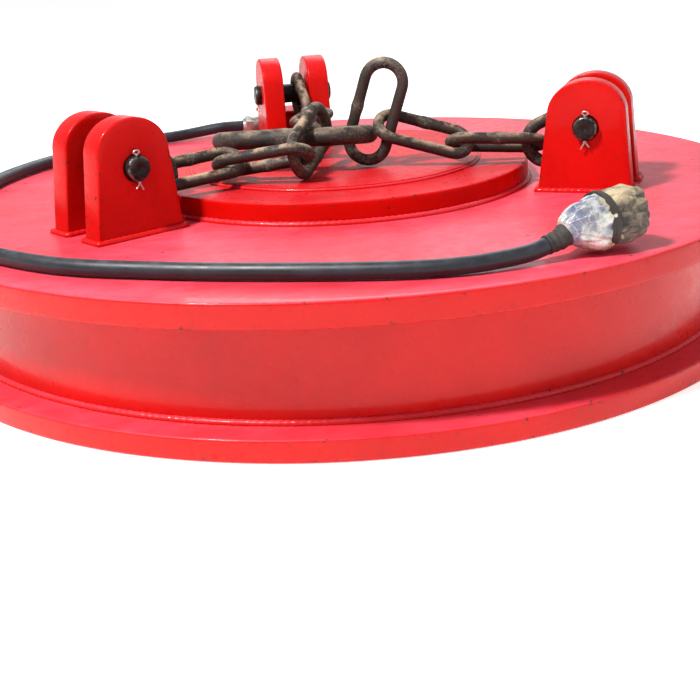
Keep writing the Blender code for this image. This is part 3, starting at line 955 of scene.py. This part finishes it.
def chain_link(node, material):
    """A forged link: round bar, a collar where it was welded, worn ends and hammer dents."""
    centre, (along, across, normal), (length, width, wire) = link_shape(node)
    if normal.dot(along.cross(across)) < 0:
        normal = -normal
    rng = random.Random(hash_seed(node))
    weld_side = 1 if rng.random() < 0.5 else -1
    offset = Vector((rng.uniform(0, 9), rng.uniform(0, 9), rng.uniform(0, 9)))
    straight = (length - width) / 2
    bend = (width - wire) / 2
    bm = bmesh.new()
    rings = []
    for place, out, collar, crown in link_stations(along, across, straight, bend, weld_side, wire):
        points = []
        for a in turn_angles(WIRE_SIDES):
            direction = out * cos(a) + normal * sin(a)
            dent = DENT * noise.noise((place + direction * wire) * 26 + offset)
            rough = ROUGH * noise.noise((place + direction * wire) * 90 + offset)
            size = wire / 2 * (BAR_SHARE + dent + rough + COLLAR_RISE * collar)
            points.append(centre + place + direction * size)
        rings.append(add_ring(bm, points, max(0.0, crown * 0.5 + collar * 0.6)))
    skin(bm, rings, loop=True)
    add_piece(f"forged_{node}", bm, material, node, [node], sharp=180.0)


def hex_bolt(bm, at, across_flats, height):
    """A hex head with a chamfered crown, standing on a round washer."""
    corner = across_flats / sqrt(3)
    washer = [(0.0, corner * 1.12, 1.0), (0.0012, corner * 1.16, 1.0), (0.0016, corner * 1.12, 0.6)]
    lathe_along(bm, at, Vector((0, 0, 1)), washer, 32)
    rings = []
    for rise, size in ((0.0016, corner), (height * 0.78, corner), (height, corner * 0.86)):
        angles = [a + 0.2 for a in turn_angles(6)]
        points = [at + Vector((size * cos(a), size * sin(a), rise)) for a in angles]
        rings.append(add_ring(bm, points, 0.8))
    skin(bm, rings)
    cap(bm, rings)


def boxed(name, low, high, radius, material, nodes=(), slot=None, segments=4):
    """A piece that is a box with rounded edges, its edge value set along them."""
    bm = bmesh.new()
    layer = edge_layer(bm)
    place = Matrix.Translation((low + high) / 2) @ Matrix.Diagonal((*(high - low), 1))
    made = bmesh.ops.create_cube(bm, size=1, matrix=place)
    edges = list({e for v in made["verts"] for e in v.link_edges})
    made = bmesh.ops.bevel(bm, geom=edges, offset=radius, segments=segments, affect="EDGES", profile=0.5)
    for face in made["faces"]:
        for vert in face.verts:
            vert[layer] = 1.0
    add_piece(name, bm, material, "housing", nodes, sharp=30.0)


def outlet_box(paint, zinc, rubber):
    """The cable outlet: cast box, lid on a gasket, bolts with washers, and the box's weld."""
    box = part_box("outlet_box")
    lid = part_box("outlet_lid")
    boxed("outlet_body", *box, OUTLET_ROUND, paint, ["outlet_box"], "red_paint")
    lid_low = lid[0] + Vector((0, 0, LID_GAP))
    boxed("outlet_cover", lid_low, lid[1], LID_ROUND, paint, ["outlet_lid"], "red_paint")
    inset = Vector((GASKET_INSET, GASKET_INSET, 0))
    low = Vector((lid[0].x, lid[0].y, box[1].z - GASKET_BITE)) + inset
    high = Vector((lid[1].x, lid[1].y, lid_low.z + GASKET_BITE)) - inset
    boxed("outlet_gasket", low, high, GASKET_ROUND, rubber, segments=2)
    for number in range(1, 5):
        node = f"lid_bolt_{number}"
        low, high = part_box(node)
        at = Vector(((low.x + high.x) / 2, (low.y + high.y) / 2, low.z - BOLT_SINK))
        bm = bmesh.new()
        hex_bolt(bm, at, BOLT_FLATS, high.z - at.z)
        add_piece(f"outlet_bolt_{number}", bm, zinc, "housing", [node], sharp=25.0)
    gland_thread(zinc)
    gland_cap(zinc)
    half = (box[1] - box[0]) / 2 + Vector((WELD_LAP, WELD_LAP, 0))
    middle = (box[0] + box[1]) / 2
    corners = [(-1, -1), (1, -1), (1, 1), (-1, 1)]
    height = box[0].z + WELD_LAP
    path = closed_path([(middle.x + half.x * x, middle.y + half.y * y, height) for x, y in corners])
    weld_bead("weld_outlet", path, OUTLET_WELD_R, paint, 77)


def gland_thread(zinc):
    """The gland's collar and its ridged thread, pointing along -X."""
    low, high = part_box("gland_body")
    radius = (high.z - low.z) / 2
    length = high.x - low.x
    outline = [(0, radius * 0.92, 0.5), (0.001, radius, 1.0)]
    outline += [(length * 0.28, radius, 1.0), (length * 0.32, radius * 0.86, 0.3)]
    for i in range(THREADS):
        at = length * (0.36 + 0.6 * i / THREADS)
        outline += [(at, radius * 0.80, 0.0), (at + length * 0.035, radius * 0.86, 0.9)]
    outline += [(length, radius * 0.8, 0.0)]
    start = Vector((high.x, (low.y + high.y) / 2, (low.z + high.z) / 2))
    bm = bmesh.new()
    lathe_along(bm, start, Vector((-1, 0, 0)), outline)
    add_piece("gland_thread", bm, zinc, "housing", ["gland_body"], sharp=30.0)


def gland_cap(zinc):
    """The gland's nut: a hexagon with chamfered ends that narrows to a round nose."""
    low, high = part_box("gland_nut")
    middle = (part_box("gland_body")[0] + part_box("gland_body")[1]) / 2
    start = Vector((high.x, middle.y, middle.z))
    radius = (high.z - low.z) / 2
    length = high.x - low.x
    sixth = pi / 3
    shape = ((0.0, 0.92), (0.0015, 1.0), (length * 0.62, 1.0), (length * 0.72, 0.88), (length, 0.74))
    bm = bmesh.new()
    rings = []
    for distance, size in shape:
        points = []
        for a in turn_angles(36):
            flat = cos(sixth / 2) / cos((a + sixth / 2) % sixth - sixth / 2)
            reach = radius * size * (flat if distance < length * 0.7 else 0.9)
            points.append(start + Vector((-distance, cos(a) * reach, sin(a) * reach)))
        rings.append(add_ring(bm, points, 0.6))
    skin(bm, rings)
    cap(bm, rings)
    add_piece("gland_cap", bm, zinc, "housing", ["gland_nut"], sharp=25.0)


def cable(rubber):
    """The supply cable as one smooth curve, and the length of its route."""
    points, length = smooth_curve(CABLE_ROUTE, CABLE_POINTS)
    curve = bpy.data.curves.new("supply_cable", "CURVE")
    curve.dimensions = "3D"
    curve.bevel_depth = CABLE_R
    curve.bevel_resolution = 8
    curve.use_fill_caps = True
    spline = curve.splines.new("POLY")
    spline.points.add(len(points) - 1)
    for knot, point in zip(spline.points, points):
        knot.co = (*point, 1)
    spline.use_smooth = True
    curve.materials.append(rubber)
    piece = add_object("supply_cable", curve)
    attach(piece, "housing")
    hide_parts("power_cable")
    return piece, length


def bundle_part(name, place, profile, freq, depth, material, seed, nodes=()):
    """A closed crumpled bag round the bundle's axis; profile is (along, reach) in half sizes."""
    smooth, _ = smooth_curve([(a, r, 0) for a, r in profile], 110, 8)
    bm = bmesh.new()
    rings = []
    shift = Vector((seed * 3.1, seed * 1.7, seed * 0.9))
    for point in smooth[1:-1]:
        along, reach = point.x, max(point.y, 0.01)
        points = []
        for a in turn_angles(WRAP_STEPS):
            c, q = cos(a), sin(a)
            square = (abs(c) ** WRAP_SQUARENESS + abs(q) ** WRAP_SQUARENESS) ** (-1 / WRAP_SQUARENESS)
            p = Vector((along * 0.9, c * 1.3, q * 1.3)) + shift
            near, far = noise.voronoi(p * freq)[0][:2]
            fold = min(1.0, (far - near) * 1.8)
            soft = noise.noise(p * 1.4)
            size = min(reach * square * (1 - depth + depth * fold + 0.05 * soft), WRAP_REACH)
            x = along * WRAP_HALF[0] + 0.002 * soft * reach
            points.append((x, c * size * WRAP_HALF[1], max(q * size, WRAP_BASE) * WRAP_HALF[2]))
        rings.append(add_ring(bm, points))
    skin(bm, rings)
    cap(bm, rings)
    bm.transform(place)
    return add_piece(name, bm, material, "housing", nodes, sharp=50.0)


def wrapped_end(film, cloth, tape):
    """The cable's end: film pulled over the cores, a cloth cap over that, and tape round both."""
    turn = Matrix.Rotation(radians(WRAP_TURN), 4, "Z")
    lean = Matrix.Rotation(radians(WRAP_LEAN), 4, "Y")
    place = Matrix.Translation(WRAP_AT) @ turn @ lean
    sleeve = [(-0.97, 0.0), (-0.96, 0.36), (-0.84, 0.52), (-0.66, 0.68), (-0.46, 0.82), (-0.26, 0.90)]
    sleeve += [(-0.12, 0.95), (0.00, 0.99), (0.02, 0.92), (-0.02, 0.60), (-0.04, 0.0)]
    cloth_cap = [(-0.26, 0.0), (-0.25, 0.50), (-0.20, 0.72), (-0.06, 0.84), (0.20, 0.94)]
    cloth_cap += [(0.50, 0.98), (0.78, 0.96), (0.92, 0.84), (0.97, 0.50), (0.975, 0.0)]
    return [
        bundle_part("end_film", place, sleeve, 1.15, 0.17, film, 3, ["cable_end_wrap"]),
        bundle_part("end_cloth", place, cloth_cap, 1.3, 0.15, cloth, 7),
        tape_band(place, tape, 8),
        tape_neck(tape),
    ]


def tape_neck(tape):
    """Tape wound over the last of the cable and onto the bundle, ridged turn by turn."""
    end = Vector(CABLE_ROUTE[-1])
    along = (end - Vector(CABLE_ROUTE[-2])).normalized()
    target = end + along * NECK_INSIDE + Vector((0, 0, NECK_LIFT))
    path = [end - along * NECK_OVERLAP]
    path += [end.lerp(target, i / NECK_STEPS) for i in range(NECK_STEPS + 1)]
    smooth, _ = smooth_curve(path, 40, 8)

    def radius(share):
        ridge = NECK_RIDGE * sin(share * NECK_TURNS * 2 * pi)
        return CABLE_R + NECK_TAPE + NECK_FLARE * share**2 + ridge

    bm = bmesh.new()
    tube(bm, smooth, radius, 32, 0.3)
    return add_piece("tape_neck", bm, tape, "housing", sharp=60.0)


def tape_band(place, tape, seed):
    """A few overlapping turns of tape round the bundle, each a slightly crooked band."""
    rng = random.Random(seed)
    bm = bmesh.new()
    half = TAPE_WIDTH / 2
    section = ((-half, -TAPE_TUCK), (-half, 0), (0, TAPE_CROWN), (half, 0), (half, -TAPE_TUCK))
    for turn in range(TAPE_TURNS):
        shift = rng.uniform(-0.004, 0.004)
        lean = rng.uniform(-0.10, 0.10)
        rings = []
        for a in turn_angles(96):
            around = Vector((cos(a) * 2, sin(a) * 2, turn + seed))
            crush = 1 + 0.035 * noise.noise(around)
            half_y = WRAP_HALF[1] * TAPE_SHARE * crush + turn * TAPE_THICK
            half_z = WRAP_HALF[2] * TAPE_SHARE * crush + turn * TAPE_THICK
            points = []
            for x, lift in section:
                y = cos(a) * (half_y + lift)
                z = sin(a) * (half_z + lift)
                points.append((WRAP_HALF[0] * TAPE_AT + x + shift + y * lean, y, z))
            rings.append(add_ring(bm, points))
        skin(bm, rings, loop=True)
    bm.transform(place)
    return add_piece("tape_band", bm, tape, "housing", sharp=50.0)


def hidden_parts():
    """Procedural finishes for the parts inside, on the CAD's own nodes."""
    steel = pole_steel("pole_steel")
    finishes = {
        "core": steel,
        "inner_pole_shoe": steel,
        "bottom_plate": shield_plate("shield_plate"),
        "coil_former": fibre_board("former_board"),
        "coil_inner": wound_coil("wound_coil"),
        "coil_outer": wound_coil("wound_coil_outer"),
        "insulation_bottom": fibre_board("insulation_board"),
        "insulation_top": fibre_board("insulation_board_top"),
    }
    for name, finish in finishes.items():
        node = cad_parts[name]
        node.data.materials.clear()
        node.data.materials.append(finish)


# ---------- studio


def add_light(name, at, target, size, power, colour):
    """A soft square area light aimed at a point."""
    data = bpy.data.lights.new(name, "AREA")
    data.shape = "SQUARE"
    data.size = size
    data.energy = power
    data.color = colour
    light = add_object(name, data)
    place = (Vector(target) - Vector(at)).to_track_quat("-Z", "Y").to_matrix().to_4x4()
    place.translation = Vector(at)
    light.matrix_world = place


def floor():
    """Pale floor, a millimetre under the magnet."""
    bm = bmesh.new()
    bmesh.ops.create_circle(bm, cap_ends=True, segments=128, radius=FLOOR_RADIUS)
    mesh = bpy.data.meshes.new("floor")
    bm.to_mesh(mesh)
    bm.free()
    mesh.materials.append(pale_floor("pale_floor"))
    piece = add_object("floor", mesh)
    piece.location.z = cad_box[0][2] - 0.001


def surroundings():
    """White surroundings that dim with height."""
    world = bpy.data.worlds.new("studio")
    bpy.context.scene.world = world
    world.use_nodes = True
    tree = world.node_tree
    back = tree.nodes["Background"]
    back.inputs["Color"].default_value = (1.0, 1.0, 1.0, 1)
    where = tree.nodes.new("ShaderNodeTexCoord")
    parts = tree.nodes.new("ShaderNodeSeparateXYZ")
    fade = tree.nodes.new("ShaderNodeMapRange")
    tree.links.new(where.outputs["Generated"], parts.inputs["Vector"])
    tree.links.new(parts.outputs["Z"], fade.inputs["Value"])
    for socket, value in SKY.items():
        fade.inputs[socket].default_value = value
    tree.links.new(fade.outputs["Result"], back.inputs["Strength"])


def studio():
    """The floor, the surroundings and three soft lights."""
    floor()
    surroundings()
    for name, (at, size, power, colour) in LIGHTS.items():
        add_light(name, at, LIGHTS_AIM, size, power, colour)
    bpy.context.scene.view_settings.view_transform = "Standard"


def supply_cord(rubber):
    """The cable and its wrapped end."""
    cord, length = cable(rubber)
    film = wrap_film("wrap_film")
    tape = binding_tape("binding_tape")
    on_cord = wrapped_end(film, wrap_cloth("wrap_cloth"), tape)


def sling():
    """Three legs of chain and the master link."""
    chain = rust("chain_rust")
    big = rust("master_rust", light=0.25)
    for leg in ("right", "back", "left"):
        for number in range(1, 5):
            chain_link(f"link_{leg}_{number}", chain)
    chain_link("master_link", big)


def main():
    """Build the camera, the cable, the studio and then every other piece."""
    add_camera()
    rubber = cable_rubber("cable_rubber")
    supply_cord(rubber)
    studio()
    paint_side = enamel("enamel_side", dust_and_sheen=0.40, streak=(1.0, 1.0, 0.12))
    paint_top = enamel("enamel_top", dust_and_sheen=0.58, streak=(0.4, 1.0, 1.0))
    paint_boss = enamel("enamel_boss", dust_and_sheen=0.14, streak=(0.6, 1.0, 1.0), coat=0.0, shine=0.05)
    paint_lug = enamel("enamel_lug", dust_and_sheen=0.08, streak=(1.0, 1.0, 0.3), coat=0.08, shine=0.10)
    paint_pole = enamel("enamel_pole", dust_and_sheen=0.45, streak=(1.0, 1.0, 0.2), bare=True)
    steel = dark_steel("pin_steel")
    zinc = zinc_plate("zinc_plate")
    housing(paint_side, paint_top, paint_boss, paint_pole, shield_plate("seam_steel"))
    for lug in LUG_ANGLES:
        for side_name in ("a", "b"):
            lug_plate(lug, side_name, paint_lug)
        lug_pin(lug, steel, zinc)
    sling()
    outlet_box(paint_lug, zinc, rubber)
    hidden_parts()


main()
